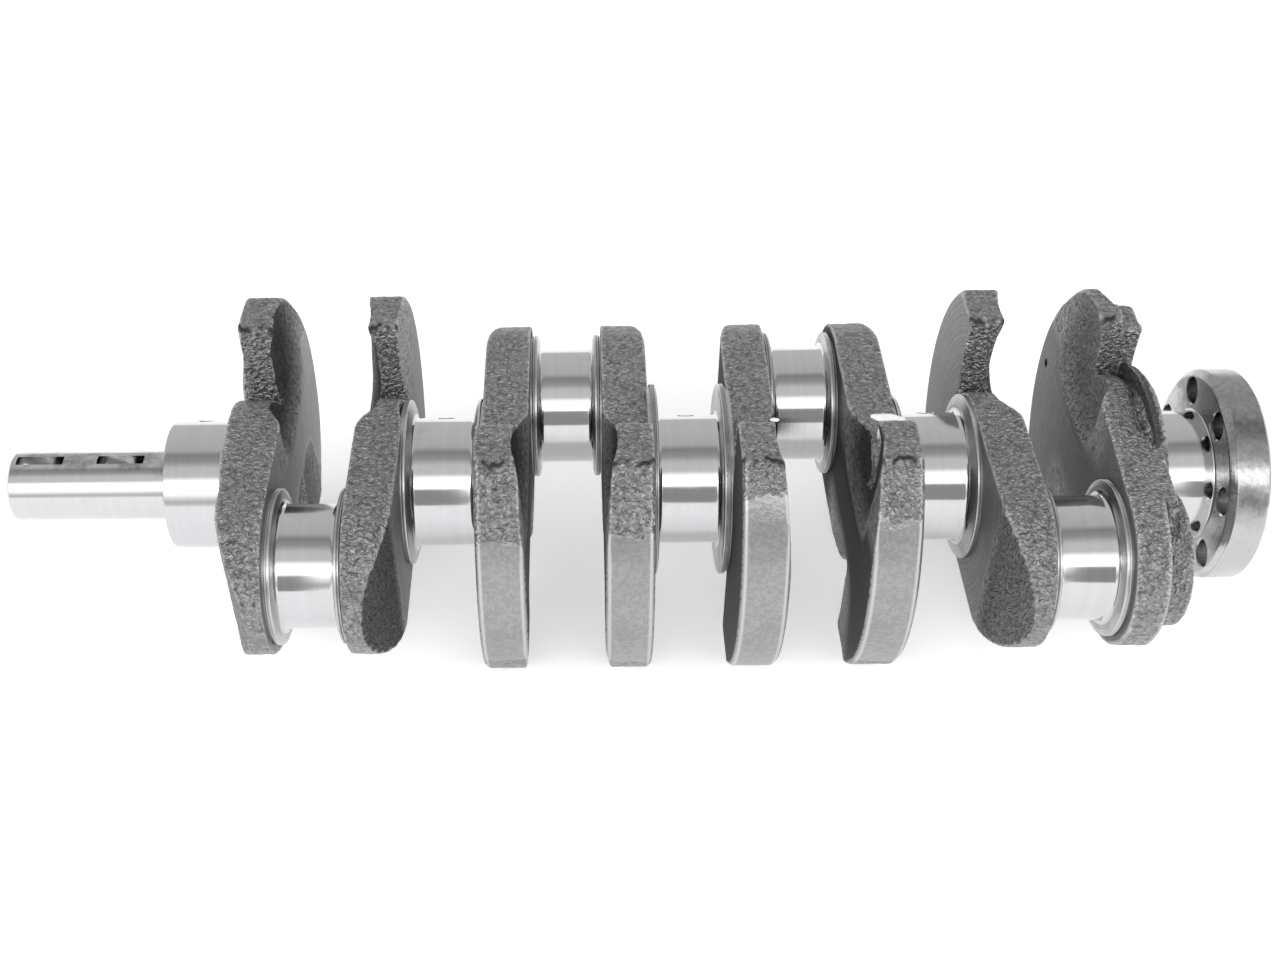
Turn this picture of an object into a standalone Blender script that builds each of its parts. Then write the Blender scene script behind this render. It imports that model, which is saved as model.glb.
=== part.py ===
"""Forged crankshaft of an in-line four-cylinder engine, in its named sections.

X is the rotation axis and runs from the pulley nose to the flywheel flange. The crank pins lie in the
horizontal plane: pins 1 and 4 on the -Y side, pins 2 and 3 on the +Y side. The origin is on the axis at
mid-length. Lengths are metres.
"""

import math

import bmesh
import bpy
from mathutils import Matrix, Vector

# Driving dimensions
BORE_PITCH = 0.103
THROW = 0.050
MAIN_RADIUS = 0.0275
PIN_RADIUS = 0.0255
MAIN_HALF_WIDTH = 0.0130
PIN_HALF_WIDTH = 0.0117
MAIN_SHOULDER_THICKNESS = 0.0036
PIN_SHOULDER_THICKNESS = 0.0038
MAIN_SHOULDER_RADIUS = 0.0355
PIN_SHOULDER_RADIUS = 0.0320
THRUST_COLLAR_RADIUS = 0.0410

# Web arm: two half circles round the main axis and the pin axis, joined by straight flanks
WEB_RADIUS = 0.0360
WEB_EDGE = 0.0015

# The lobe is cut back on its main side by two planes: how far out each starts, and how deep it is there
LOBE_BEVEL = ((0.0470, 0.0), (0.0694, 0.0036), (0.0860, 0.0110))

# Counterweight: a disc sector that stands on the shoulder line across the web
RIM_RADIUS = 0.0804
RIM_HALF_ANGLE = math.radians(47.6)
SHOULDER_LINE = 0.0308
SHOULDER_HALF_WIDTH = 0.0607
RIM_EDGE = 0.0010

# The last counterweight is thicker, and its rear layer is lower at the rim
REAR_LAYER_RADIUS = 0.0730
REAR_LAYER_END = 0.0110
FRONT_LAYER_START = 0.0271
REAR_LAYER_EDGE = 0.0035
LOBE_BOSS_RADIUS = 0.0280
LOBE_STEP = 0.0222
REAR_HUB_RADIUS = 0.0450
REAR_HUB_END = 0.0098
BALANCE_HOLE_RADIUS = 0.0020
BALANCE_HOLE_PLACE = 0.0700
BALANCE_HOLE_ANGLE = math.radians(5.0)
BALANCE_HOLE_DEPTH = 0.0080

# Pulley nose
NOSE_RADIUS = 0.0149
NOSE_LENGTH = 0.0692
NOSE_CHAMFER = 0.0010
FRONT_JOURNAL_OVERRUN = 0.0004
KEY_WIDTH = 0.0050
KEY_CUTTER_RADIUS = 0.0110
KEY_SEAT_LENGTH = 0.0200
KEY_SEAT_CENTRES = (0.0130, 0.0473)
CENTRE_HOLE_RADIUS = 0.0060
CENTRE_HOLE_DEPTH = 0.0350
CENTRE_SINK_RADIUS = 0.0080
CENTRE_SINK_DEPTH = 0.0035

# Flywheel flange
FLANGE_RADIUS = 0.0450
FLANGE_THICKNESS = 0.0165
FLANGE_FRONT = 0.0117
FLANGE_FRONT_CHAMFER = 0.0028
FLANGE_REAR_CHAMFER = 0.0013
BOLT_COUNT = 7
BOLT_CIRCLE_RADIUS = 0.0360
BOLT_HOLE_RADIUS = 0.00575
FIRST_BOLT_ANGLE = math.radians(24.0)
PILOT_RADIUS = 0.0150
PILOT_DEPTH = 0.0120

# Oilways
OIL_HOLE_RADIUS = 0.00275
OIL_MOUTH_ANGLE = math.radians(133.0)
DRILL_OVERRUN = 0.0040
PLAIN_OIL_HOLE_DEPTH = 0.0220

GAP = 0.0003
ROUND_STEPS = 56
HOLE_STEPS = 16
ARC_STEPS = 22
NECK_STEPS = 6

# The rotation axis carries the front end and the rear end at equal distances from the origin
FRONT_REACH = 2 * BORE_PITCH + MAIN_HALF_WIDTH + FRONT_JOURNAL_OVERRUN + NOSE_LENGTH
REAR_REACH = 2 * BORE_PITCH + FLANGE_FRONT + FLANGE_THICKNESS
MIDDLE_MAIN_X = (FRONT_REACH - REAR_REACH) / 2

PLATE_START = MAIN_HALF_WIDTH + MAIN_SHOULDER_THICKNESS
PLATE_END = BORE_PITCH / 2 - PIN_HALF_WIDTH - PIN_SHOULDER_THICKNESS
PIN_START = BORE_PITCH / 2 - PIN_HALF_WIDTH

# Colour, roughness and metallic value of each finish
GROUND_STEEL = ((0.62, 0.62, 0.63), 0.16, 1.0)
TURNED_STEEL = ((0.42, 0.42, 0.43), 0.34, 1.0)
FORGED_STEEL = ((0.20, 0.20, 0.21), 0.62, 0.8)

# Each web: the main journal it leaves, the way it goes along X, and the side its counterweight is on
WEBS = (
    (1, 1, 1),
    (2, -1, 1),
    (2, 1, -1),
    (3, -1, -1),
    (3, 1, -1),
    (4, -1, -1),
    (4, 1, 1),
    (5, -1, 1),
)
THRUST_WEBS = {4: "thrust_collar_front", 5: "thrust_collar_rear"}
REAR_WEB = 8

# Each drilled oilway: main journal, web it crosses, crank pin it feeds
OILWAYS = ((1, 1, 1), (2, 3, 2), (4, 6, 3), (5, 8, 4))


def main_x(number):
    """X of a main journal's centre."""
    return MIDDLE_MAIN_X + (number - 3) * BORE_PITCH


def pin_x(number):
    """X of a crank pin's centre."""
    return (main_x(number) + main_x(number + 1)) / 2


def pin_side(number):
    """-1 where the crank pin is on the -Y side, +1 where it is on the +Y side."""
    return -1 if number in (1, 4) else 1


def clear_scene():
    for old in list(bpy.data.objects):
        bpy.data.objects.remove(old, do_unlink=True)


def finish_material(name, finish):
    colour, roughness, metallic = finish
    material = bpy.data.materials.new(name)
    material.use_nodes = True
    shader = material.node_tree.nodes["Principled BSDF"]
    shader.inputs["Base Color"].default_value = (*colour, 1.0)
    shader.inputs["Roughness"].default_value = roughness
    shader.inputs["Metallic"].default_value = metallic
    return material


def mesh_from(bm, name):
    bmesh.ops.recalc_face_normals(bm, faces=bm.faces)
    mesh = bpy.data.meshes.new(name)
    bm.to_mesh(mesh)
    bm.free()
    mesh.shade_smooth()
    mesh.set_sharp_from_angle(angle=math.radians(30))
    return mesh


def add_section(name, mesh, finish, parent, place=(0, 0, 0), turn=(0, 0, 0)):
    """A named section of the crankshaft, with its own finish. The finish is on the object, not its mesh."""
    section = bpy.data.objects.new(name, mesh)
    bpy.context.scene.collection.objects.link(section)
    section.parent = parent
    section.location = place
    section.rotation_euler = turn
    if not mesh.materials:
        mesh.materials.append(None)
    section.material_slots[0].link = "OBJECT"
    section.material_slots[0].material = finish_material(name + "_finish", finish)
    return section


def add_cutter(name, mesh, parent, place=(0, 0, 0), turn=(0, 0, 0)):
    cutter = bpy.data.objects.new(name, mesh)
    bpy.context.scene.collection.objects.link(cutter)
    cutter.parent = parent
    cutter.location = place
    cutter.rotation_euler = turn
    cutter.hide_render = True
    cutter.display_type = "WIRE"
    return cutter


def join_or_cut(section, tool, operation):
    change = section.modifiers.new(tool.name, "BOOLEAN")
    change.operation = operation
    change.object = tool


def add_cylinder(bm, start, end, radius, end_radius=None, steps=ROUND_STEPS):
    """A closed cylinder or cone between two points, added to bm."""
    along = Vector(end) - Vector(start)
    middle = (Vector(end) + Vector(start)) / 2
    turn = along.to_track_quat("Z", "Y").to_matrix().to_4x4()
    return bmesh.ops.create_cone(
        bm,
        cap_ends=True,
        segments=steps,
        radius1=radius,
        radius2=radius if end_radius is None else end_radius,
        depth=along.length,
        matrix=Matrix.Translation(middle) @ turn,
    )["verts"]


def bevel_edges(bm, edges, width, steps=1):
    bmesh.ops.bevel(
        bm,
        geom=edges,
        affect="EDGES",
        offset=width,
        segments=steps,
        profile=0.5,
        material=-1,
    )


def edges_at(bm, x):
    """The edges that lie in the plane across the axis at x."""
    near = 1e-6
    return [edge for edge in bm.edges if all(abs(vert.co.x - x) < near for vert in edge.verts)]


def turned_bar(name, x0, x1, radius, chamfer_start=0.0, chamfer_end=0.0):
    """A cylinder along X, with a chamfer at either end where one is given."""
    bm = bmesh.new()
    add_cylinder(bm, (x0, 0, 0), (x1, 0, 0), radius)
    if chamfer_start:
        bevel_edges(bm, edges_at(bm, x0), chamfer_start)
    if chamfer_end:
        bevel_edges(bm, edges_at(bm, x1), chamfer_end)
    return mesh_from(bm, name)


def arc(centre_y, radius, start, end, steps):
    """Points (y, z) on an arc, its angle measured from +Y."""
    points = []
    for step in range(steps + 1):
        angle = start + (end - start) * step / steps
        points.append((centre_y + radius * math.cos(angle), radius * math.sin(angle)))
    return points


def prism(outline, x0, x1):
    """A flat plate: an outline in the plane across the axis, drawn out from x0 to x1."""
    bm = bmesh.new()
    face = bm.faces.new([bm.verts.new((x0, y, z)) for y, z in outline])
    drawn = bmesh.ops.extrude_face_region(bm, geom=[face])["geom"]
    moved = [item for item in drawn if isinstance(item, bmesh.types.BMVert)]
    bmesh.ops.translate(bm, vec=(x1 - x0, 0, 0), verts=moved)
    return bm


def slice_off(bm, point, outward):
    """Cuts a convex body with a plane and closes the cut."""
    everything = list(bm.verts) + list(bm.edges) + list(bm.faces)
    cut = bmesh.ops.bisect_plane(
        bm,
        geom=everything,
        plane_co=point,
        plane_no=outward,
        clear_outer=True,
    )["geom_cut"]
    rim = [item for item in cut if isinstance(item, bmesh.types.BMEdge)]
    bmesh.ops.holes_fill(bm, edges=rim)


def web_outline(lobe_radius):
    """The crank arm. Local +Y is towards the counterweight."""
    flat = math.asin((SHOULDER_LINE - GAP) / WEB_RADIUS)
    below = 3 * math.pi / 2
    outline = arc(0, WEB_RADIUS, math.pi / 2 - flat, math.pi / 2, NECK_STEPS)
    outline += arc(-THROW, lobe_radius, math.pi / 2, below, ARC_STEPS)
    outline += arc(0, WEB_RADIUS, below, below + flat, NECK_STEPS)
    return outline


def ease_pin_side(bm):
    """Bevels the arm's edges on the side that faces the crank pin, but not along the counterweight."""
    shoulder = SHOULDER_LINE - 2 * GAP
    outer = [
        edge
        for edge in edges_at(bm, PLATE_END)
        if any(vert.co.y < shoulder for vert in edge.verts)
    ]
    bevel_edges(bm, outer, WEB_EDGE)


def web_mesh():
    """The crank arm, its lobe cut back on the main side. Local +X is towards the crank pin."""
    bm = prism(web_outline(WEB_RADIUS), PLATE_START, PLATE_END)
    bmesh.ops.recalc_face_normals(bm, faces=bm.faces)
    for (near, shallow), (far, deep) in zip(LOBE_BEVEL, LOBE_BEVEL[1:]):
        outward = Vector((near - far, shallow - deep, 0))
        slice_off(bm, (PLATE_START + shallow, -near, 0), outward)
    ease_pin_side(bm)
    return mesh_from(bm, "web")


def rear_web_mesh():
    """The part of the last crank arm in front of the step in its lobe."""
    bm = prism(web_outline(WEB_RADIUS), LOBE_STEP, PLATE_END)
    bmesh.ops.recalc_face_normals(bm, faces=bm.faces)
    ease_pin_side(bm)
    return mesh_from(bm, "rear_web")


def counterweight_outline(radius):
    outline = arc(0, radius, -RIM_HALF_ANGLE, RIM_HALF_ANGLE, ARC_STEPS)
    scale = radius / RIM_RADIUS
    outline.append((SHOULDER_LINE, SHOULDER_HALF_WIDTH * scale))
    outline.append((SHOULDER_LINE, -SHOULDER_HALF_WIDTH * scale))
    return outline


def counterweight_mesh():
    """The sector, with its rim edges eased."""
    bm = prism(counterweight_outline(RIM_RADIUS), PLATE_START, PLATE_END)
    rim = [
        edge
        for x in (PLATE_START, PLATE_END)
        for edge in edges_at(bm, x)
        if all(vert.co.y > SHOULDER_LINE + RIM_EDGE for vert in edge.verts)
    ]
    bevel_edges(bm, rim, RIM_EDGE)
    return mesh_from(bm, "counterweight")


def rear_counterweight_mesh():
    bm = prism(counterweight_outline(RIM_RADIUS), FRONT_LAYER_START, PLATE_END)
    return mesh_from(bm, "rear_counterweight")


def rear_layer_mesh():
    bm = prism(counterweight_outline(REAR_LAYER_RADIUS), REAR_LAYER_END, FRONT_LAYER_START + GAP)
    bevel_edges(bm, edges_at(bm, REAR_LAYER_END), REAR_LAYER_EDGE, 2)
    return mesh_from(bm, "rear_layer")


def web_turn(way, side):
    """Rotation that sends local +X along `way` and local +Y to `side`."""
    if way == 1 and side == 1:
        return (0, 0, 0)
    if way == -1 and side == 1:
        return (0, math.pi, 0)
    if way == 1:
        return (math.pi, 0, 0)
    return (0, 0, math.pi)


def build_webs(axis):
    web = web_mesh()
    counterweight = counterweight_mesh()
    half = GAP / 2
    shoulder = turned_bar(
        "main_shoulder", MAIN_HALF_WIDTH + half, PLATE_START - GAP, MAIN_SHOULDER_RADIUS
    )
    collar = turned_bar(
        "thrust_collar", MAIN_HALF_WIDTH + half, PLATE_START - GAP, THRUST_COLLAR_RADIUS
    )
    pin_ring = turned_bar("pin_shoulder", PLATE_END + GAP, PIN_START - half, PIN_SHOULDER_RADIUS)
    for number, (main, way, side) in enumerate(WEBS, start=1):
        place = (main_x(main), 0, 0)
        turn = web_turn(way, side)
        pin_place = (main_x(main), -side * THROW, 0)
        add_section(f"pin_shoulder_{number}", pin_ring, TURNED_STEEL, axis, pin_place, turn)
        if number == REAR_WEB:
            build_rear_web(axis, place, turn)
            build_rear_counterweight(axis, place, turn)
            continue
        add_section(f"web_{number}", web, FORGED_STEEL, axis, place, turn)
        add_section(f"counterweight_{number}", counterweight, FORGED_STEEL, axis, place, turn)
        if number in THRUST_WEBS:
            add_section(THRUST_WEBS[number], collar, TURNED_STEEL, axis, place, turn)
        else:
            add_section(f"main_shoulder_{number}", shoulder, TURNED_STEEL, axis, place, turn)


def cut_hub_room(section, axis, place, turn):
    """Leaves room for the hub behind the last web."""
    bm = bmesh.new()
    add_cylinder(bm, (0, 0, 0), (PLATE_START, 0, 0), REAR_HUB_RADIUS + 2 * GAP)
    name = f"{section.name}_hub_room"
    room = add_cutter(name, mesh_from(bm, name), axis, place, turn)
    join_or_cut(section, room, "DIFFERENCE")


def build_rear_web(axis, place, turn):
    """The last crank arm: a smaller lobe behind the step, carried back as a boss beside the hub."""
    name = f"web_{REAR_WEB}"
    arm = add_section(name, rear_web_mesh(), FORGED_STEEL, axis, place, turn)
    layer = prism(web_outline(LOBE_BOSS_RADIUS), PLATE_START, LOBE_STEP + GAP)
    bmesh.ops.recalc_face_normals(layer, faces=layer.faces)
    behind = add_cutter("rear_arm_guide", mesh_from(layer, "rear_arm"), axis, place, turn)
    join_or_cut(arm, behind, "UNION")
    bm = bmesh.new()
    boss_radius = LOBE_BOSS_RADIUS - GAP
    add_cylinder(bm, (REAR_LAYER_END, -THROW, 0), (LOBE_STEP, -THROW, 0), boss_radius)
    boss = add_cutter("lobe_boss_guide", mesh_from(bm, "lobe_boss"), axis, place, turn)
    join_or_cut(arm, boss, "UNION")
    cut_hub_room(arm, axis, place, turn)


def build_rear_counterweight(axis, place, turn):
    """The last web's counterweight, in two layers, and the conical hub behind it."""
    weight = add_section(
        f"counterweight_{REAR_WEB}", rear_counterweight_mesh(), FORGED_STEEL, axis, place, turn
    )
    layer = add_cutter("rear_layer_guide", rear_layer_mesh(), axis, place, turn)
    join_or_cut(weight, layer, "UNION")
    cut_hub_room(weight, axis, place, turn)
    bm = bmesh.new()
    drill_y = BALANCE_HOLE_PLACE * math.cos(BALANCE_HOLE_ANGLE)
    drill_z = BALANCE_HOLE_PLACE * math.sin(BALANCE_HOLE_ANGLE)
    start = (PLATE_END - BALANCE_HOLE_DEPTH, drill_y, -drill_z)
    end = (PLATE_END + DRILL_OVERRUN, drill_y, -drill_z)
    add_cylinder(bm, start, end, BALANCE_HOLE_RADIUS, steps=HOLE_STEPS)
    drill = add_cutter("balance_drill", mesh_from(bm, "balance_drill"), axis, place, turn)
    join_or_cut(weight, drill, "DIFFERENCE")
    bm = bmesh.new()
    end = (PLATE_START - GAP, 0, 0)
    add_cylinder(bm, (REAR_HUB_END, 0, 0), end, MAIN_SHOULDER_RADIUS, REAR_HUB_RADIUS)
    hub = mesh_from(bm, "rear_hub")
    add_section(f"main_shoulder_{REAR_WEB}", hub, TURNED_STEEL, axis, place, turn)


def build_journals(axis):
    half = GAP / 2
    for number in range(1, 6):
        front = -MAIN_HALF_WIDTH + half
        rear = MAIN_HALF_WIDTH - half
        front_chamfer = 0.0
        if number == 1:
            front = -MAIN_HALF_WIDTH - FRONT_JOURNAL_OVERRUN + half
            front_chamfer = NOSE_CHAMFER
        if number == 5:
            front = -REAR_HUB_END + GAP
            rear = FLANGE_FRONT - half
        name = f"main_journal_{number}"
        mesh = turned_bar(name, front, rear, MAIN_RADIUS, front_chamfer)
        add_section(name, mesh, GROUND_STEEL, axis, (main_x(number), 0, 0))
    pin = turned_bar("crank_pin", -PIN_HALF_WIDTH + half, PIN_HALF_WIDTH - half, PIN_RADIUS)
    for number in range(1, 5):
        place = (pin_x(number), pin_side(number) * THROW, 0)
        add_section(f"crank_pin_{number}", pin, GROUND_STEEL, axis, place)


def build_nose(axis):
    front = main_x(1) - MAIN_HALF_WIDTH - FRONT_JOURNAL_OVERRUN - NOSE_LENGTH
    bar = turned_bar("pulley_nose", 0, NOSE_LENGTH - GAP / 2, NOSE_RADIUS, NOSE_CHAMFER)
    nose = add_section("pulley_nose", bar, GROUND_STEEL, axis, (front, 0, 0))
    lift = math.sqrt(KEY_CUTTER_RADIUS**2 - (KEY_SEAT_LENGTH / 2) ** 2)
    bm = bmesh.new()
    for centre in KEY_SEAT_CENTRES:
        side = Vector((0, KEY_WIDTH / 2, 0))
        middle = Vector((centre, 0, NOSE_RADIUS + lift))
        add_cylinder(bm, middle - side, middle + side, KEY_CUTTER_RADIUS)
    seats = add_cutter("key_seat_cutter", mesh_from(bm, "key_seats"), axis, (front, 0, 0))
    join_or_cut(nose, seats, "DIFFERENCE")
    bm = bmesh.new()
    end = (CENTRE_HOLE_DEPTH, 0, 0)
    add_cylinder(bm, (-DRILL_OVERRUN, 0, 0), end, CENTRE_HOLE_RADIUS, steps=HOLE_STEPS)
    drill = add_cutter("centre_drill", mesh_from(bm, "centre_drill"), axis, (front, 0, 0))
    join_or_cut(nose, drill, "DIFFERENCE")
    bm = bmesh.new()
    spread = (CENTRE_SINK_RADIUS - CENTRE_HOLE_RADIUS) / CENTRE_SINK_DEPTH
    mouth = CENTRE_SINK_RADIUS + spread * DRILL_OVERRUN
    end = (2 * CENTRE_SINK_DEPTH, 0, 0)
    narrow = CENTRE_HOLE_RADIUS - spread * CENTRE_SINK_DEPTH
    add_cylinder(bm, (-DRILL_OVERRUN, 0, 0), end, mouth, narrow, steps=HOLE_STEPS)
    sink = add_cutter("centre_sink", mesh_from(bm, "centre_sink"), axis, (front, 0, 0))
    join_or_cut(nose, sink, "DIFFERENCE")


def build_flange(axis):
    place = (main_x(5) + FLANGE_FRONT, 0, 0)
    disc = turned_bar(
        "flywheel_flange",
        GAP / 2,
        FLANGE_THICKNESS,
        FLANGE_RADIUS,
        FLANGE_FRONT_CHAMFER,
        FLANGE_REAR_CHAMFER,
    )
    flange = add_section("flywheel_flange", disc, TURNED_STEEL, axis, place)
    bm = bmesh.new()
    for bolt in range(BOLT_COUNT):
        angle = math.pi - FIRST_BOLT_ANGLE - bolt * 2 * math.pi / BOLT_COUNT
        y = BOLT_CIRCLE_RADIUS * math.cos(angle)
        z = BOLT_CIRCLE_RADIUS * math.sin(angle)
        start = (-DRILL_OVERRUN, y, z)
        end = (FLANGE_THICKNESS + DRILL_OVERRUN, y, z)
        add_cylinder(bm, start, end, BOLT_HOLE_RADIUS, steps=HOLE_STEPS)
    start = (FLANGE_THICKNESS - PILOT_DEPTH, 0, 0)
    end = (FLANGE_THICKNESS + DRILL_OVERRUN, 0, 0)
    add_cylinder(bm, start, end, PILOT_RADIUS)
    drills = add_cutter("flange_drills", mesh_from(bm, "flange_drills"), axis, place)
    join_or_cut(flange, drills, "DIFFERENCE")


def oil_mouth(number):
    """Where the oil hole opens on a main journal."""
    y = MAIN_RADIUS * math.cos(math.pi - OIL_MOUTH_ANGLE)
    z = MAIN_RADIUS * math.sin(math.pi - OIL_MOUTH_ANGLE)
    return Vector((main_x(number), y, z))


def drill_oilways(axis):
    """One slanted drilling from each fed main journal, through web and shoulders, out under its crank pin."""
    for main, web, pin in OILWAYS:
        mouth = oil_mouth(main)
        outlet = Vector((pin_x(pin), pin_side(pin) * THROW, -PIN_RADIUS))
        past = (outlet - mouth).normalized() * DRILL_OVERRUN
        bm = bmesh.new()
        add_cylinder(bm, mouth - past, outlet + past, OIL_HOLE_RADIUS, steps=HOLE_STEPS)
        drill = add_cutter(f"oilway_drill_{main}", mesh_from(bm, "oilway"), axis)
        crossed = (
            f"main_journal_{main}",
            f"main_shoulder_{web}",
            f"web_{web}",
            f"pin_shoulder_{web}",
            f"crank_pin_{pin}",
        )
        for name in crossed:
            join_or_cut(bpy.data.objects[name], drill, "DIFFERENCE")
    mouth = oil_mouth(3)
    outward = Vector((0, mouth.y, mouth.z)).normalized()
    bm = bmesh.new()
    start = mouth - outward * PLAIN_OIL_HOLE_DEPTH
    add_cylinder(bm, start, mouth + outward * DRILL_OVERRUN, OIL_HOLE_RADIUS, steps=HOLE_STEPS)
    drill = add_cutter("oil_drill_3", mesh_from(bm, "oil_hole"), axis)
    join_or_cut(bpy.data.objects["main_journal_3"], drill, "DIFFERENCE")


def main():
    clear_scene()
    axis = bpy.data.objects.new("crank_axis", None)
    bpy.context.scene.collection.objects.link(axis)
    build_nose(axis)
    build_journals(axis)
    build_webs(axis)
    build_flange(axis)
    drill_oilways(axis)


main()
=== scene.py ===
"""Looks of the forged crankshaft: ground journals, turned shoulders and rough forged webs.

Places come from the CAD boxes. Lengths are metres. X is the rotation axis, from pulley nose to flange.
"""

import math

import bmesh
import bpy
import numpy as np
from mathutils import Matrix, Vector, noise


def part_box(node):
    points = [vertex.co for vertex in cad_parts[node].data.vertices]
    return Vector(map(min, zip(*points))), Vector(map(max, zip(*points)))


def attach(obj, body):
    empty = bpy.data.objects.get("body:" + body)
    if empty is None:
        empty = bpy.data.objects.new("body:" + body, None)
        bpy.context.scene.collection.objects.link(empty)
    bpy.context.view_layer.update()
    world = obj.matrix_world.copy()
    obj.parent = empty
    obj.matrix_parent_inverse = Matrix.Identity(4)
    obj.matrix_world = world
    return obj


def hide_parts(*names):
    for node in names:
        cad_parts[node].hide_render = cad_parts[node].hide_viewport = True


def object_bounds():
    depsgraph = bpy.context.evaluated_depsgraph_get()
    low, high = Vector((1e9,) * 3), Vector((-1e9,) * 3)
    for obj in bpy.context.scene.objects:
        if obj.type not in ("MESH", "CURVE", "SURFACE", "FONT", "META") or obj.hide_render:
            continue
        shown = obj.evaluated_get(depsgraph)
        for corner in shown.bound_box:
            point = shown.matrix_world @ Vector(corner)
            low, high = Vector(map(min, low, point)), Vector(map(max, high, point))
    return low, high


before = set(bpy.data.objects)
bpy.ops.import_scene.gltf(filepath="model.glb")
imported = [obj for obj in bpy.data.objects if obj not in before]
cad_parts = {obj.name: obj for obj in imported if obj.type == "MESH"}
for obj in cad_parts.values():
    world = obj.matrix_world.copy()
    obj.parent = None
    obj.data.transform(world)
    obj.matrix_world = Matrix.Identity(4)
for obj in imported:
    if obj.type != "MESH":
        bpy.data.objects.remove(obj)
CAD_LOW, CAD_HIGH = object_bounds()

MM = 0.001

# Sizes of the forging, as the CAD has them
BORE_PITCH = 103.0 * MM
THROW = 50.0 * MM
MAIN_RADIUS = 27.5 * MM
PIN_RADIUS = 25.5 * MM
MAIN_SHOULDER_RADIUS = 35.5 * MM
THRUST_COLLAR_RADIUS = 41.0 * MM
PIN_SHOULDER_RADIUS = 32.0 * MM
WEB_RADIUS = 35.9 * MM
RIM_RADIUS = 80.35 * MM
RIM_HALF_ANGLE = math.radians(47.6)
SHOULDER_LINE = 30.8 * MM
SHOULDER_HALF_WIDTH = 60.1 * MM
NOSE_RADIUS = 14.9 * MM
FLANGE_RADIUS = 45.0 * MM

# Pulley nose: two half-moon key seats, and a countersunk centre hole in the end
KEY_SEATS = (13.0 * MM, 47.3 * MM)
KEY_HALF_WIDTH = 2.5 * MM
KEY_SEAT_RADIUS = 11.0 * MM
KEY_SEAT_HALF_LENGTH = 10.0 * MM
CENTRE_HOLE_RADIUS = 6.0 * MM
CENTRE_HOLE_DEPTH = 34.0 * MM
NOSE_CHAMFER = 1.1 * MM

# Flywheel flange: seven bolt holes round a pilot bore
BOLT_COUNT = 7
BOLT_CIRCLE_RADIUS = 36.0 * MM
BOLT_RADIUS = 5.75 * MM
FIRST_BOLT_ANGLE = math.pi - math.radians(24.0)
PILOT_RADIUS = 15.0 * MM
PILOT_DEPTH = 12.0 * MM
FLANGE_FRONT_CHAMFER = 2.8 * MM
FLANGE_REAR_CHAMFER = 1.3 * MM

# Oil holes open on top of the main journals, and under the crank pins
OIL_HOLE_RADIUS = 2.75 * MM
OIL_HOLE_DEPTH = 14.0 * MM
MAIN_OIL_DIRECTION = (0, 0.60, 0.80)

# A balance hole in the rear web's pin side, placed by its distance and angle from the axis
BALANCE_HOLE_RADIUS = 2.0 * MM
BALANCE_HOLE_DEPTH = 8.0 * MM
BALANCE_HOLE_PLACE = (70.0 * MM, math.radians(5.0))

# Drills start and end this far outside the metal, and turned pieces reach this far into their neighbours
OVERRUN = 4.0 * MM
BURIED = 1.0 * MM
JOURNAL_FILLET = 2.0 * MM
REAR_JOURNAL_FILLET = 0.7 * MM

# Distances along X from a main journal's centre towards the crank pin
SHOULDER_START = 13.0 * MM
PLATE_START = 16.6 * MM
PLATE_END = 36.0 * MM
PIN_START = 39.8 * MM

MIDDLE_MAIN_X = sum(corner.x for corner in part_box("main_journal_3")) / 2

THRUST_COLLARS = {4: "thrust_collar_front", 5: "thrust_collar_rear"}

# Each web: its main journal, which way along X its pin lies, and which way along Y its counterweight lies
WEBS = (
    (1, 1, 1),
    (2, -1, 1),
    (2, 1, -1),
    (3, -1, -1),
    (3, 1, -1),
    (4, -1, -1),
    (4, 1, 1),
    (5, -1, 1),
)

# Steps round a turned piece, size of the forging skin's faces, and the angle past which an edge stays sharp
TURN_STEPS = 160
WEB_VOXEL = 0.85 * MM
SHARP_ANGLE = math.radians(28.0)

# The rear web has a thinner, smaller layer behind its rim, and a boss behind its lobe
REAR_WEB = 8
FRONT_LAYER_START = 27.1 * MM
SLOPE_START = 22.8 * MM
REAR_LAYER_RADIUS = 73.0 * MM
REAR_LAYER_END = 11.0 * MM
REAR_LAYER_ROUNDING = 5.0 * MM
REAR_NECK_RADIUS = 43.0 * MM
LOBE_BOSS_RADIUS = 28.0 * MM
LOBE_STEP = 22.2 * MM

# How much painted shade each web's machined faces get, and the cut back side of its lobe
PAINTED_FACE_SHADE = {1: 0.25, 2: 0.4, 3: 0.9, 4: 0.9, 5: 0.9, 6: 0.95, 7: 0.35, 8: 0.45}
PAINTED_LOBE_SHADE = {2: 0.8, 7: 0.5}
PLAIN_PAINTED_LOBE_SHADE = 0.3

# Where a web differs from the rest: a recess in its main side, a shallower scoop below its axis, a raised
# hub, and the angle in degrees from the middle of its rim at which forging skin starts
MAIN_RECESS = {2: 2.5 * MM}
LOW_SCOOP = {1: 0.3, 5: 0.1, 6: 0.1, 8: 0.0}
HUB_BULGE = {1: 3.0 * MM}
RIM_SKIN_ANGLE = {3: 25.0, 4: 27.0, 5: 38.0, 6: 30.0}
PLAIN_RIM_SKIN_ANGLE = 30.0

# These webs get painted shade along the corner of the rim, and the others along the corner of the shoulder
RIM_CREASE_WEBS = (3, 4, 5, 6)


def main_x(number):
    return MIDDLE_MAIN_X + (number - 3) * BORE_PITCH


def pin_x(number):
    return (main_x(number) + main_x(number + 1)) / 2


def pin_y(number):
    """The outer pins are on one side of the axis and the inner pins on the other."""
    return -THROW if number in (1, 4) else THROW


# ---------------------------------------------------------------- materials


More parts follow.
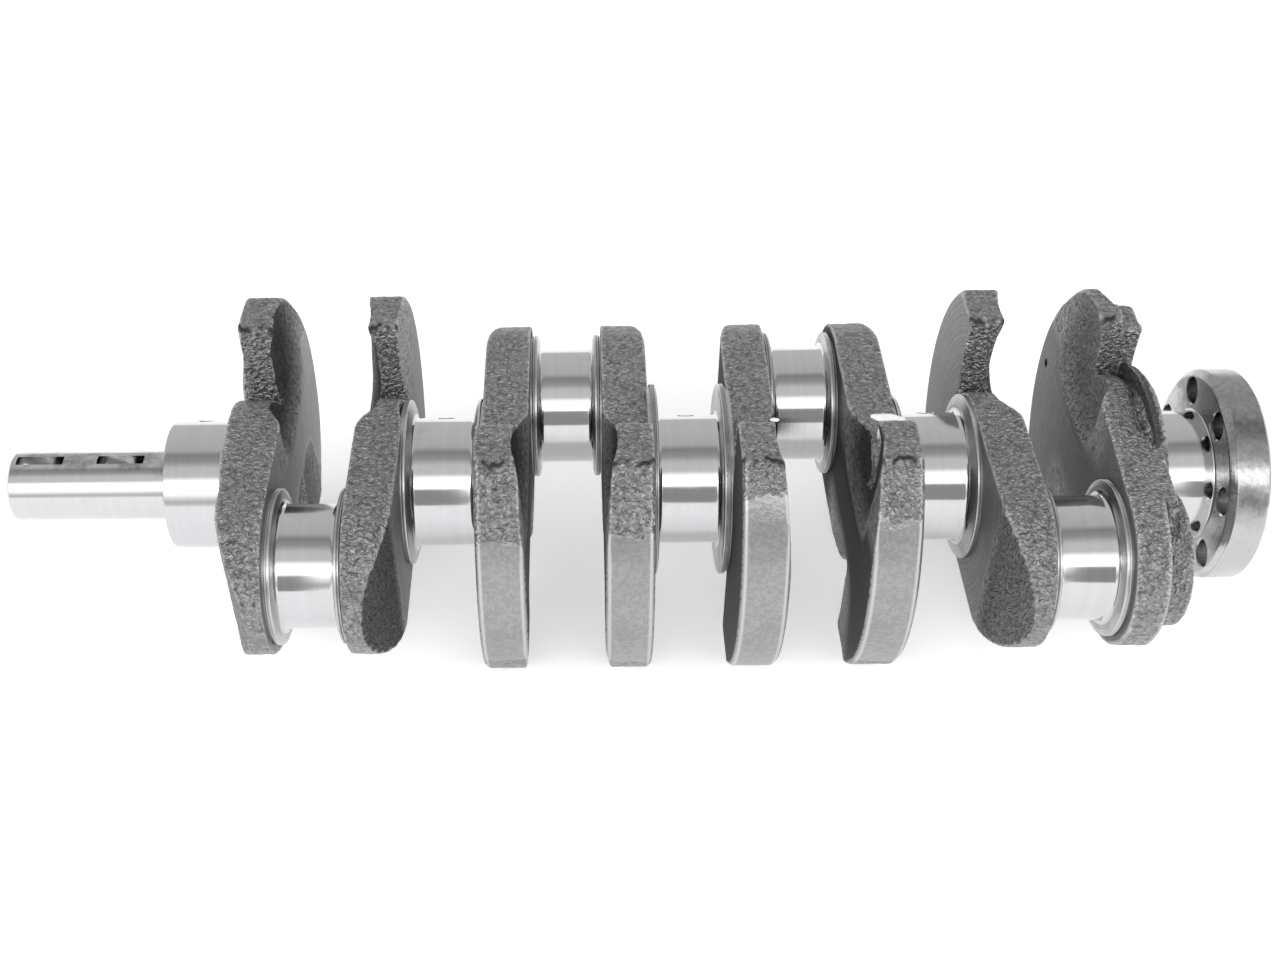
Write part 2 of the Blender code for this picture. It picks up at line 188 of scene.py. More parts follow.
class Nodes:
    """Adds nodes to one node tree and joins them up."""

    def __init__(self, tree):
        self.tree = tree

    def node(self, kind, **settings):
        made = self.tree.nodes.new(kind)
        for key, value in settings.items():
            setattr(made, key, value)
        return made

    def link(self, source, target):
        self.tree.links.new(source, target)

    def feed(self, socket, value):
        if isinstance(value, bpy.types.NodeSocket):
            self.link(value, socket)
        else:
            socket.default_value = value

    def math(self, operation, first, second=0.0, clamp=False):
        made = self.node("ShaderNodeMath", operation=operation, use_clamp=clamp)
        self.feed(made.inputs[0], first)
        self.feed(made.inputs[1], second)
        return made.outputs[0]

    def parts(self, place):
        made = self.node("ShaderNodeSeparateXYZ")
        self.link(place, made.inputs[0])
        return made.outputs

    def ranged(self, value, low, high, to_low=0.0, to_high=1.0, shape="SMOOTHSTEP"):
        made = self.node("ShaderNodeMapRange", interpolation_type=shape)
        self.feed(made.inputs["Value"], value)
        made.inputs["From Min"].default_value = low
        made.inputs["From Max"].default_value = high
        made.inputs["To Min"].default_value = to_low
        made.inputs["To Max"].default_value = to_high
        return made.outputs[0]

    def mixed(self, factor, first, second):
        made = self.node("ShaderNodeMix", data_type="RGBA")
        self.feed(made.inputs["Factor"], factor)
        self.feed(made.inputs["A"], first)
        self.feed(made.inputs["B"], second)
        return made.outputs["Result"]


SHADER_INPUTS = {
    "colour": "Base Color",
    "metallic": "Metallic",
    "roughness": "Roughness",
    "specular": "Specular IOR Level",
    "normal": "Normal",
    "glow_colour": "Emission Color",
    "glow": "Emission Strength",
}


class Recipe(Nodes):
    """A new material, its shader and the textures that feed it."""

    def __init__(self, name):
        self.material = bpy.data.materials.new(name)
        self.material.use_nodes = True
        super().__init__(self.material.node_tree)
        self.shader = self.tree.nodes["Principled BSDF"]
        self.place = self.tree.nodes.new("ShaderNodeTexCoord").outputs["Object"]

    def paint(self, **values):
        """Sets the shader's inputs, or joins nodes to them."""
        for key, value in values.items():
            self.feed(self.shader.inputs[SHADER_INPUTS[key]], value)

    def stretched(self, scale):
        made = self.node("ShaderNodeMapping", vector_type="POINT")
        self.link(self.place, made.inputs["Vector"])
        made.inputs["Scale"].default_value = scale
        return made.outputs[0]

    def noise(self, scale, detail=3.0, rough=0.5, place=None, distortion=0.0):
        made = self.node("ShaderNodeTexNoise")
        self.link(place or self.place, made.inputs["Vector"])
        made.inputs["Scale"].default_value = scale
        made.inputs["Detail"].default_value = detail
        made.inputs["Roughness"].default_value = rough
        made.inputs["Distortion"].default_value = distortion
        return made.outputs["Fac"]

    def cells(self, scale):
        made = self.node("ShaderNodeTexVoronoi", feature="SMOOTH_F1")
        self.link(self.place, made.inputs["Vector"])
        made.inputs["Scale"].default_value = scale
        return made.outputs["Distance"]

    def attribute(self, name):
        return self.node("ShaderNodeAttribute", attribute_name=name).outputs["Fac"]

    def bump(self, height, strength, distance, below=None):
        made = self.node("ShaderNodeBump")
        self.link(height, made.inputs["Height"])
        self.feed(made.inputs["Strength"], strength)
        made.inputs["Distance"].default_value = distance
        if below is not None:
            self.link(below, made.inputs["Normal"])
        return made.outputs[0]


def grey(level):
    return (level, level, level * 1.01, 1.0)


def ground_steel(name, bright=0.60, shade_height=None):
    """Ground and polished journal: very fine grinding lines round the axis, faint smears."""
    recipe = Recipe(name)
    lines = recipe.noise(1.0, 2.0, 0.6, recipe.stretched((4200.0, 10.0, 10.0)))
    bands = recipe.noise(1.0, 2.0, 0.5, recipe.stretched((300.0, 4.0, 4.0)))
    smears = recipe.noise(30.0, 5.0, 0.65)
    shade = recipe.mixed(recipe.ranged(bands, 0.3, 0.7), grey(bright * 0.96), grey(bright))
    shade = recipe.mixed(recipe.ranged(smears, 0.54, 0.80, 0.0, 0.45), shade, grey(bright * 0.62))
    # Painted shade: darker, mottled patches above a height
    if shade_height is not None:
        shade = painted_shade_above(recipe, shade, grey(bright * 0.3), shade_height, 12 * MM)
    polish = recipe.ranged(lines, 0.3, 0.7, 0.07, 0.12)
    gloss = recipe.math("ADD", polish, recipe.ranged(smears, 0.5, 0.8, 0.0, 0.12))
    recipe.paint(colour=shade, metallic=1.0, roughness=gloss, normal=recipe.bump(lines, 0.05, 0.05 * MM))
    return recipe.material


def radius_from(recipe, centre_y):
    """Distance from an axis along X."""
    parts = recipe.parts(recipe.place)
    across = recipe.math("SUBTRACT", parts["Y"], centre_y)
    height = parts["Z"]
    across_squared = recipe.math("MULTIPLY", across, across)
    height_squared = recipe.math("MULTIPLY", height, height)
    return recipe.math("SQRT", recipe.math("ADD", across_squared, height_squared))


def tool_rings(recipe, radius, per_metre):
    """Rings left by the lathe tool."""
    rings = recipe.node("ShaderNodeTexNoise", noise_dimensions="1D")
    recipe.link(recipe.math("MULTIPLY", radius, per_metre), rings.inputs["W"])
    rings.inputs["Scale"].default_value = 1.0
    return rings.outputs["Fac"]


def painted_shade_above(recipe, shade, colour, height, spread):
    """Painted shade above a height: darker, mottled patches with a ragged edge."""
    ragged = recipe.math("MULTIPLY", recipe.math("SUBTRACT", recipe.noise(90.0, 5.0, 0.7), 0.5), spread)
    level = recipe.math("ADD", recipe.parts(recipe.place)["Z"], ragged)
    above = recipe.ranged(level, height, height + 4 * MM)
    mottled = recipe.math("MULTIPLY", above, recipe.noise(420.0, 3.0, 0.6))
    return recipe.mixed(recipe.math("MULTIPLY", mottled, 1.3, clamp=True), shade, colour)


def turned_steel(name, centre_y=0.0, bright=0.56, gloss=0.26, shade_height=None):
    """Turned face: tool rings round the centre of turning, with painted shade above a height in places."""
    recipe = Recipe(name)
    rings = tool_rings(recipe, radius_from(recipe, centre_y), 1500.0)
    wear = recipe.noise(55.0, 5.0, 0.65)
    grain = recipe.noise(900.0, 3.0, 0.6)
    shade = recipe.mixed(recipe.ranged(rings, 0.3, 0.7), grey(bright * 0.72), grey(bright))
    shade = recipe.mixed(recipe.ranged(wear, 0.48, 0.78, 0.0, 0.6), shade, grey(bright * 0.5))
    shade = recipe.mixed(recipe.ranged(grain, 0.5, 0.75, 0.0, 0.4), shade, grey(bright * 0.5))
    # Painted shade: darker, mottled patches above a height
    if shade_height is not None:
        shade = painted_shade_above(recipe, shade, grey(bright * 0.35), shade_height, 34 * MM)
    worn = recipe.ranged(wear, 0.3, 0.8, gloss, gloss + 0.2)
    lines = recipe.bump(rings, 0.35, 0.12 * MM)
    grained = recipe.bump(grain, 0.3, 0.10 * MM, lines)
    recipe.paint(colour=shade, metallic=1.0, roughness=worn, normal=grained)
    return recipe.material


def forged_steel(name):
    """Rough forging skin, with smoother machined steel where the mesh's `machined` value is high.

    `crest` is high on edges and bumps, which are painted lighter as rubbed wear and as a painted highlight,
    and low in hollows, which are painted dark as painted shade. `scale` is painted shade, with dark mill
    scale in the hollows.
    """
    recipe = Recipe(name)
    worm = recipe.noise(520.0, 1.5, 0.5, distortion=0.8)
    pits = recipe.cells(640.0)
    broad = recipe.noise(60.0, 4.0, 0.6)
    grain = recipe.noise(2100.0, 3.0, 0.6)
    ragged = recipe.math("MULTIPLY", recipe.math("SUBTRACT", recipe.noise(170.0, 4.0, 0.6), 0.5), 1.1)
    machined = recipe.ranged(recipe.math("ADD", recipe.attribute("machined"), ragged), 0.42, 0.60)
    skin = recipe.math("SUBTRACT", 1.0, machined)
    crest = recipe.attribute("crest")
    scale = recipe.attribute("scale")

    dark = recipe.mixed(recipe.ranged(worm, 0.36, 0.64), grey(0.27), grey(0.37))
    dark = recipe.mixed(recipe.ranged(pits, 0.44, 0.68, 0.0, 0.6), dark, grey(0.12))
    dark = recipe.mixed(recipe.ranged(broad, 0.42, 0.75, 0.0, 0.25), dark, grey(0.17))
    rings = tool_rings(recipe, radius_from(recipe, 0.0), 700.0)
    clean = recipe.mixed(recipe.ranged(rings, 0.3, 0.7), grey(0.30), grey(0.45))
    shaded = recipe.mixed(0.25, clean, grey(0.15))
    clean = recipe.mixed(recipe.ranged(grain, 0.35, 0.65), shaded, clean)
    clean = recipe.mixed(recipe.ranged(broad, 0.4, 0.75, 0.0, 0.4), clean, grey(0.25))
    clean = recipe.mixed(recipe.ranged(worm, 0.58, 0.42, 0.0, 0.35), clean, grey(0.22))
    shade = recipe.mixed(machined, dark, clean)
    # Painted shade: `scale` darkens hollows, side faces and creases nearly to black
    shade = recipe.mixed(scale, shade, grey(0.03))
    # Painted highlight and rubbed wear on crests, painted shade in hollows and creases where `crest` is low
    shade = recipe.mixed(recipe.ranged(crest, 0.60, 0.95, 0.0, 0.75), shade, grey(0.58))
    shade = recipe.mixed(recipe.ranged(crest, 0.06, 0.40, 0.75, 0.0), shade, grey(0.05))
    bare = recipe.ranged(machined, 0.0, 1.0, 0.46, 0.38)
    dull = recipe.math("ADD", bare, recipe.math("MULTIPLY", scale, 0.35))
    metal = recipe.ranged(scale, 0.0, 1.0, 0.9, 0.1)

    fine = recipe.bump(grain, recipe.math("ADD", recipe.math("MULTIPLY", skin, 0.35), 0.12), 0.16 * MM)
    turned = recipe.bump(rings, recipe.math("MULTIPLY", machined, 0.35), 0.16 * MM, fine)
    coarse = recipe.bump(worm, recipe.math("ADD", skin, 0.07, clamp=True), 3.9 * MM, turned)
    hollows = recipe.bump(pits, recipe.math("MULTIPLY", skin, 0.6), 0.9 * MM, coarse)
    recipe.paint(colour=shade, metallic=metal, roughness=dull, specular=0.2, normal=hollows)
    return recipe.material


def marker_paint(name):
    """Thick white marking paint."""
    recipe = Recipe(name)
    shade = recipe.mixed(recipe.noise(400.0), grey(0.78), grey(0.93))
    brushed = recipe.bump(recipe.noise(900.0), 0.5, 0.2 * MM)
    recipe.paint(colour=shade, roughness=0.6, normal=brushed)
    return recipe.material


# ---------------------------------------------------------------- shapes


def arc(centre_y, radius, start, end, steps):
    """Points (y, z) on an arc, its angle measured from +Y."""
    points = []
    for step in range(steps + 1):
        angle = start + (end - start) * step / steps
        points.append((centre_y + radius * math.cos(angle), radius * math.sin(angle)))
    return points


def eased(corners, steps=4):
    """A polyline whose corners are rounded: each corner is (x, r) or (x, r, distance of the rounding)."""
    line = []
    for index, corner in enumerate(corners):
        here = Vector(corner[:2])
        if len(corner) == 2 or index in (0, len(corners) - 1):
            line.append(here)
            continue
        before = Vector(corners[index - 1][:2])
        after = Vector(corners[index + 1][:2])
        start = here + (before - here).normalized() * corner[2]
        end = here + (after - here).normalized() * corner[2]
        for step in range(steps + 1):
            share = step / steps
            line.append(start * (1 - share) ** 2 + here * 2 * share * (1 - share) + end * share**2)
    return line


def new_piece(mesh, name, material):
    piece = bpy.data.objects.new(name, mesh)
    bpy.context.scene.collection.objects.link(piece)
    mesh.materials.clear()
    mesh.materials.append(material)
    return piece


def set_on(piece, slot, *nodes):
    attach(piece, "root")
    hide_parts(*nodes)


def turned_piece(name, corners, material, centre_y=0.0):
    """A body turned round an axis along X. Its profile is given as corners for `eased`."""
    bm = bmesh.new()
    line = eased(corners)
    verts = [bm.verts.new((point.x, 0.0, point.y)) for point in line]
    edges = [bm.edges.new(pair) for pair in zip(verts, verts[1:])]
    bmesh.ops.spin(
        bm,
        geom=verts + edges,
        cent=(0, 0, 0),
        axis=(1, 0, 0),
        angle=2 * math.pi,
        steps=TURN_STEPS,
        use_merge=True,
    )
    bmesh.ops.remove_doubles(bm, verts=bm.verts, dist=0.001 * MM)
    bmesh.ops.recalc_face_normals(bm, faces=bm.faces)
    bmesh.ops.translate(bm, vec=(0, centre_y, 0), verts=bm.verts)
    mesh = bpy.data.meshes.new(name)
    bm.to_mesh(mesh)
    bm.free()
    mesh.shade_smooth()
    mesh.set_sharp_from_angle(angle=SHARP_ANGLE)
    return new_piece(mesh, name, material)


def cylinder_between(bm, start, end, radius, end_radius=None, steps=48):
    """A closed cylinder or cone between two points, added to bm."""
    along = Vector(end) - Vector(start)
    middle = (Vector(end) + Vector(start)) / 2
    turn = along.to_track_quat("Z", "Y").to_matrix().to_4x4()
    bmesh.ops.create_cone(
        bm,
        cap_ends=True,
        segments=steps,
        radius1=radius,
        radius2=radius if end_radius is None else end_radius,
        depth=along.length,
        matrix=Matrix.Translation(middle) @ turn,
    )


def cut(piece, bm):
    """Cuts the closed shapes in bm out of a piece for good."""
    mesh = bpy.data.meshes.new("cutter")
    bm.to_mesh(mesh)
    bm.free()
    cutter = bpy.data.objects.new("cutter", mesh)
    bpy.context.scene.collection.objects.link(cutter)
    change = piece.modifiers.new("cut", "BOOLEAN")
    change.operation = "DIFFERENCE"
    change.object = cutter
    apply_all(piece)
    bpy.data.objects.remove(cutter, do_unlink=True)
    piece.data.shade_smooth()
    piece.data.set_sharp_from_angle(angle=SHARP_ANGLE)


def apply_all(piece):
    """Turns a piece's modifiers into its mesh."""
    graph = bpy.context.evaluated_depsgraph_get()
    graph.update()
    done = bpy.data.meshes.new_from_object(piece.evaluated_get(graph))
    piece.modifiers.clear()
    piece.data = done


# ---------------------------------------------------------------- turned sections


def oil_drills(mouth_x):
    """The drill for a main journal's oil hole, and the tool that eases its mouth."""
    out = Vector(MAIN_OIL_DIRECTION).normalized()
    top = Vector((mouth_x, 0, 0)) + out * MAIN_RADIUS
    drill = bmesh.new()
    cylinder_between(drill, top - out * OIL_HOLE_DEPTH, top + out * OVERRUN, OIL_HOLE_RADIUS)
    flare = bmesh.new()
    cylinder_between(flare, top - out * 1.6 * MM, top + out * 2.4 * MM, 2.5 * MM, 6.5 * MM)
    return drill, flare


def make_main(number, material):
    centre = main_x(number)
    left = centre - SHOULDER_START
    right = centre + SHOULDER_START
    far_fillet = JOURNAL_FILLET
    if number == 1:
        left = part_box("main_journal_1")[0].x
    if number == 5:
        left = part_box("main_shoulder_8")[1].x
        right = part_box("flywheel_flange")[0].x
        far_fillet = REAR_JOURNAL_FILLET
    lip = MAIN_RADIUS + JOURNAL_FILLET
    far_lip = MAIN_RADIUS + far_fillet
    if number == 1:
        corners = [(left, 0.0), (left, MAIN_RADIUS, 1.0 * MM)]
    else:
        corners = [
            (left - BURIED, 0.0),
            (left - BURIED, lip),
            (left, lip),
            (left, MAIN_RADIUS, JOURNAL_FILLET),
        ]
    corners += [
        (right, MAIN_RADIUS, far_fillet),
        (right, far_lip),
        (right + BURIED, far_lip),
        (right + BURIED, 0.0),
    ]
    piece = turned_piece(f"main_journal_{number}_ground", corners, material)
    for drill in oil_drills(centre):
        cut(piece, drill)
    set_on(piece, "ground_steel", f"main_journal_{number}")


def make_pin(number, material):
    centre = pin_x(number)
    half = BORE_PITCH / 2 - PIN_START
    lip = PIN_RADIUS + JOURNAL_FILLET
    corners = [
        (centre - half - BURIED, 0.0),
        (centre - half - BURIED, lip),
        (centre - half, lip),
        (centre - half, PIN_RADIUS, JOURNAL_FILLET),
        (centre + half, PIN_RADIUS, JOURNAL_FILLET),
        (centre + half, lip),
        (centre + half + BURIED, lip),
        (centre + half + BURIED, 0.0),
    ]
    piece = turned_piece(f"crank_pin_{number}_ground", corners, material, pin_y(number))
    mouth = Vector((centre, pin_y(number), -PIN_RADIUS))
    up = Vector((0, 0, 1))
    drill = bmesh.new()
    cylinder_between(drill, mouth + up * OIL_HOLE_DEPTH, mouth - up * OVERRUN, OIL_HOLE_RADIUS)
    cut(piece, drill)
    set_on(piece, "ground_steel", f"crank_pin_{number}")


def ring_corners(inner_x, outer_x, radius, core, slope, grooves):
    """A raised ring between a journal and the web: sloped face, eased edges, grooves, a cut at its foot."""
    way = 1 if outer_x > inner_x else -1
    groove = 0.35 * MM
    step_in = 0.9 * MM
    bore = core - 3 * MM
    corners = [
        (inner_x, bore),
        (inner_x, radius - slope - 0.8 * MM, 0.3 * MM),
        (inner_x + way * 0.4 * slope, radius, 0.6 * MM),
    ]
    start = 0.4 * slope + 0.6 * MM
    width = abs(outer_x - inner_x) - 1.0 * MM - start
    for step in range(grooves):
        spot = inner_x + way * (start + (step + 0.5) * width / grooves)
        corners.append((spot - way * groove, radius))
        corners.append((spot, radius - groove))
        corners.append((spot + way * groove, radius))
    buried = outer_x + way * 0.8 * MM
    corners += [
        (outer_x - way * 0.9 * MM, radius, 0.2 * MM),
        (outer_x - way * 0.6 * MM, radius - step_in),
        (buried, radius - step_in),
        (buried, bore),
        (inner_x, bore),
    ]
    return corners


def make_main_shoulder(number, material):
    """The ring beside a main journal. The middle journal's two are the larger thrust collars."""
    main, way, _ = WEBS[number - 1]
    inner = main_x(main) + way * SHOULDER_START
    outer = main_x(main) + way * PLATE_START
    name = THRUST_COLLARS.get(number, f"main_shoulder_{number}")
    if number in THRUST_COLLARS:
        corners = ring_corners(inner, outer, THRUST_COLLAR_RADIUS, MAIN_RADIUS, 0.8 * MM, 3)
    else:
        corners = ring_corners(inner, outer, MAIN_SHOULDER_RADIUS, MAIN_RADIUS, 3.6 * MM, 0)
    piece = turned_piece(name + "_turned", corners, material)
    set_on(piece, "turned_steel", name)


def make_pin_shoulder(number, material):
    main, way, side = WEBS[number - 1]
    inner = main_x(main) + way * PIN_START
    outer = main_x(main) + way * PLATE_END
    corners = ring_corners(inner, outer, PIN_SHOULDER_RADIUS, PIN_RADIUS, 2.0 * MM, 1)
    piece = turned_piece(f"pin_shoulder_{number}_turned", corners, material, -side * THROW)
    set_on(piece, "turned_steel", f"pin_shoulder_{number}")


def make_rear_hub(material):
    """The forged hub behind the rear web, in place of a turned shoulder."""
    low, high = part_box("main_shoulder_8")
    inside = low.x - 3 * MM
    corners = [
        (inside, 0.0),
        (inside, 48 * MM),
        (low.x + 0.5 * MM, 46.5 * MM, 1.5 * MM),
        (high.x - 2.0 * MM, 38.5 * MM, 2.5 * MM),
        (high.x, 34.5 * MM, 1.0 * MM),
        (high.x, 0.0),
    ]
    piece = turned_piece("rear_hub_forged", corners, material)
    set_on(piece, "forged_steel", "main_shoulder_8")


def make_nose(material):
    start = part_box("pulley_nose")[0].x
    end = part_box("main_journal_1")[0].x + BURIED
    corners = [
        (start, 0.0),
        (start, NOSE_RADIUS - NOSE_CHAMFER, 0.2 * MM),
        (start + NOSE_CHAMFER, NOSE_RADIUS, 0.2 * MM),
        (end, NOSE_RADIUS),
        (end, 0.0),
    ]
    piece = turned_piece("pulley_nose_ground", corners, material)
    lift = math.sqrt(KEY_SEAT_RADIUS**2 - KEY_SEAT_HALF_LENGTH**2)
    across = Vector((0, KEY_HALF_WIDTH, 0))
    drills = bmesh.new()
    for seat in KEY_SEATS:
        middle = Vector((start + seat, 0, NOSE_RADIUS + lift))
        cylinder_between(drills, middle - across, middle + across, KEY_SEAT_RADIUS, steps=96)
    outside = start - OVERRUN
    cylinder_between(drills, (outside, 0, 0), (start + CENTRE_HOLE_DEPTH, 0, 0), CENTRE_HOLE_RADIUS)
    cut(piece, drills)
    countersink = bmesh.new()
    ends = (start - 1 * MM, 0, 0), (start + 6 * MM, 0, 0)
    cylinder_between(countersink, *ends, 8.8 * MM, 4.8 * MM)
    cut(piece, countersink)
    set_on(piece, "ground_steel", "pulley_nose")


def make_flange(material):
    low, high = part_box("flywheel_flange")
    start, end = low.x, high.x
    corners = [
        (start, 0.0),
        (start, FLANGE_RADIUS - FLANGE_FRONT_CHAMFER, 0.4 * MM),
        (start + FLANGE_FRONT_CHAMFER, FLANGE_RADIUS, 0.4 * MM),
        (end - FLANGE_REAR_CHAMFER, FLANGE_RADIUS, 0.2 * MM),
        (end, FLANGE_RADIUS - FLANGE_REAR_CHAMFER, 0.2 * MM),
        (end, PILOT_RADIUS, 0.5 * MM),
        (end - PILOT_DEPTH, PILOT_RADIUS, 0.5 * MM),
        (end - PILOT_DEPTH, 0.0),
    ]
    piece = turned_piece("flywheel_flange_turned", corners, material)
    drills = bmesh.new()
    mouths = bmesh.new()
    for bolt in range(BOLT_COUNT):
        angle = FIRST_BOLT_ANGLE - bolt * 2 * math.pi / BOLT_COUNT
        y = BOLT_CIRCLE_RADIUS * math.cos(angle)
        z = BOLT_CIRCLE_RADIUS * math.sin(angle)
        cylinder_between(drills, (start - OVERRUN, y, z), (end + OVERRUN, y, z), BOLT_RADIUS)
        for face, way in ((start, 1), (end, -1)):
            outside = (face - way * 1 * MM, y, z)
            inside = (face + way * 1.2 * MM, y, z)
            cylinder_between(mouths, outside, inside, 7.3 * MM, 5.1 * MM)
    cut(piece, drills)
    cut(piece, mouths)
    set_on(piece, "turned_steel", "flywheel_flange")


# ---------------------------------------------------------------- forged webs


def step_up(value, low, high):
    """Smooth 0 to 1 as value goes from low to high."""
    share = np.clip((value - low) / (high - low), 0.0, 1.0)
    return share * share * (3 - 2 * share)


def rim_outline(rim_radius):
    """The counterweight, in two runs of points: rim arc and upper corner, then lower corner."""
    scale = rim_radius / RIM_RADIUS
    end = (SHOULDER_HALF_WIDTH - 0.1 * MM) * scale
    corner = (SHOULDER_HALF_WIDTH - 1.6 * MM) * scale
    outline = arc(0, rim_radius, -RIM_HALF_ANGLE, RIM_HALF_ANGLE, 90)
    outline += [(SHOULDER_LINE + 1.5 * MM, end), (SHOULDER_LINE, corner)]
    return outline, [(SHOULDER_LINE, -corner), (SHOULDER_LINE + 1.5 * MM, -end)]


def web_outline(rim_radius=RIM_RADIUS, neck_radius=WEB_RADIUS):
    """Counterweight, neck and pin lobe."""
    neck = math.acos(SHOULDER_LINE / neck_radius)
    outline, ending = rim_outline(rim_radius)
    outline += arc(0, neck_radius, neck, math.pi / 2, 16)
    outline += arc(-THROW, WEB_RADIUS, math.pi / 2, 3 * math.pi / 2, 60)
    outline += arc(0, neck_radius, 3 * math.pi / 2, 2 * math.pi - neck, 16)
    return outline + ending


def plate(outline, start, end):
    """A flat plate of this outline, from start to end along X."""
    bm = bmesh.new()
    face = bm.faces.new([bm.verts.new((start, y, z)) for y, z in outline])
    drawn = bmesh.ops.extrude_face_region(bm, geom=[face])["geom"]
    moved = [item for item in drawn if isinstance(item, bmesh.types.BMVert)]
    bmesh.ops.translate(bm, vec=(end - start, 0, 0), verts=moved)
    bmesh.ops.recalc_face_normals(bm, faces=bm.faces)
    return bm


def web_solid(number):
    """The web before its faces are shaped; the rear web is built of layers."""
    if number != REAR_WEB:
        return plate(web_outline(), PLATE_START, PLATE_END)
    bm = plate(web_outline(RIM_RADIUS, REAR_NECK_RADIUS), SLOPE_START, PLATE_END)
    layer_end = SLOPE_START + BURIED
    boss_end = PLATE_START + BURIED
    rear_layer = plate(web_outline(REAR_LAYER_RADIUS, REAR_NECK_RADIUS), PLATE_START, layer_end)
    rim, ending = rim_outline(REAR_LAYER_RADIUS)
    weight = plate(rim + ending, REAR_LAYER_END, boss_end)
    boss_outline = arc(-THROW, LOBE_BOSS_RADIUS, 0, 2 * math.pi, 60)[:-1]
    boss = plate(boss_outline, REAR_LAYER_END, boss_end)
    # The hub is a short taper, then a cone that runs out under the neck
    hub = bmesh.new()
    cylinder_between(hub, (REAR_LAYER_END + 3 * MM, 0, 0), (20 * MM, 0, 0), 47.5 * MM, 46 * MM)
    cylinder_between(hub, (19.5 * MM, 0, 0), (SLOPE_START + 10 * MM, 0, 0), 46 * MM, 33 * MM)
    for layer in (rear_layer, weight, boss, hub):
        mesh = bpy.data.meshes.new("layer")
        layer.to_mesh(mesh)
        layer.free()
        bm.from_mesh(mesh)
        bpy.data.meshes.remove(mesh)
    return bm


def world_up(number):
    """Which way world +Z lies along a web's own Z."""
    _, way, side = WEBS[number - 1]
    return way * side


def rim_limit(number, x):
    """Largest radius of the counterweight at x, its edges chamfered."""
    chamfer = 1.5 * MM
    if number != REAR_WEB:
        near = np.minimum(x - PLATE_START, PLATE_END - x)
        return np.minimum(RIM_RADIUS - chamfer + near, RIM_RADIUS)
    front = np.minimum(RIM_RADIUS - chamfer + PLATE_END - x, RIM_RADIUS)
    share = np.clip((x - SLOPE_START) / (FRONT_LAYER_START - SLOPE_START), 0.0, 1.0)
    depth = np.clip((REAR_LAYER_END + REAR_LAYER_ROUNDING - x) / REAR_LAYER_ROUNDING, 0.0, 1.0)
    rear = REAR_LAYER_RADIUS - REAR_LAYER_ROUNDING * (1 - np.sqrt(1 - depth**2))
    return np.minimum(front, rear + (RIM_RADIUS - REAR_LAYER_RADIUS) * share)


def lobe_bevel(number, y):
    """How far the main side is cut back on the pin lobe."""
    if number == REAR_WEB:
        return 0 * y
    share = np.clip((-y - 47 * MM) / (39 * MM), 0.0, 1.0)
    return 12.3 * MM * share**2


def lobe_limit(number, x, y):
    """Largest radius of the lobe round the pin. The rear web's lobe steps down behind its front part."""
    plain = WEB_RADIUS + 1 * MM
    if number != REAR_WEB:
        return np.full(len(x), plain)
    behind = 1 - step_up(x, LOBE_STEP - 0.9 * MM, LOBE_STEP + 0.9 * MM)
    outer = 1 - step_up(y, -66 * MM, -48 * MM)
    return plain - (plain - LOBE_BOSS_RADIUS) * (behind * outer)


def pin_scoop(number, y, z):
    """How far the pin side is hollowed beside the neck and under the shoulders."""
    out = np.abs(z)
    across = step_up(out, 8 * MM, 28 * MM)
    along = step_up(y, -5 * MM, 13 * MM) * (1 - step_up(y, 33 * MM, 60 * MM))
    tips = 1 - 0.4 * step_up(out, 45 * MM, 62 * MM)
    low_rim = step_up(out, 16 * MM, 62 * MM) * step_up(y, 30 * MM, 50 * MM)
    depth = 7.2 * MM * across * along * tips + 2.6 * MM * low_rim
    return depth * np.where(z * world_up(number) < 0, LOW_SCOOP.get(number, 1.0), 1.0)


def main_scoop(number, y, z):
    """How far the main side is hollowed."""
    along = step_up(y, -8 * MM, 16 * MM) * (1 - step_up(y, 36 * MM, 66 * MM))
    return MAIN_RECESS.get(number, 0.0) * step_up(np.abs(z), 12 * MM, 34 * MM) * along


def valley(number, x, y, z):
    """How deep the hollow between the rear web's rim layer and its hub is, towards the axis."""
    if number != REAR_WEB:
        return 0 * x
    turn = np.degrees(np.arctan2(-y, z * world_up(number)))
    along = np.exp(-(((x - 20.8 * MM) / (2.8 * MM)) ** 2))
    window = step_up(turn, -60, -44) * (1 - step_up(turn, 12, 34))
    radius = np.hypot(y, z)
    ring = step_up(radius, 30 * MM, 38 * MM) * (1 - step_up(radius, 49 * MM, 56 * MM))
    return 3.4 * MM * along * window * ring


def corner_crease_shade(number, x, y, z):
    """Painted shade, dark and broken, along the counterweight's rim corner on some webs, else its shoulder
    corner.
    """
    corner = SHOULDER_LINE + 1 * MM
    if number in RIM_CREASE_WEBS:
        corner = RIM_RADIUS * math.cos(RIM_HALF_ANGLE)
    wander = 0.9 * MM * np.sin(x / (2.3 * MM) + number) + 0.5 * MM * np.sin(x / (0.8 * MM) - number)
    waves = np.sin(x / (3.1 * MM) + 2.0 * number) + 0.8 * np.sin(x / (1.1 * MM))
    along = (y - corner - wander) / (1.2 * MM)
    across = (np.abs(z) - SHOULDER_HALF_WIDTH + 0.6 * MM) / (2.2 * MM)
    return np.exp(-(along**2 + across**2)) * step_up(waves, -1.3, 0.3)


def neck_skin(y, z):
    """Where forging skin is left on the pin side, between the hollows and the pin's shoulder."""
    below = step_up(y, -27 * MM, -8 * MM) * (1 - step_up(y, 20 * MM, 40 * MM))
    return step_up(np.abs(z), 10 * MM, 26 * MM) * below


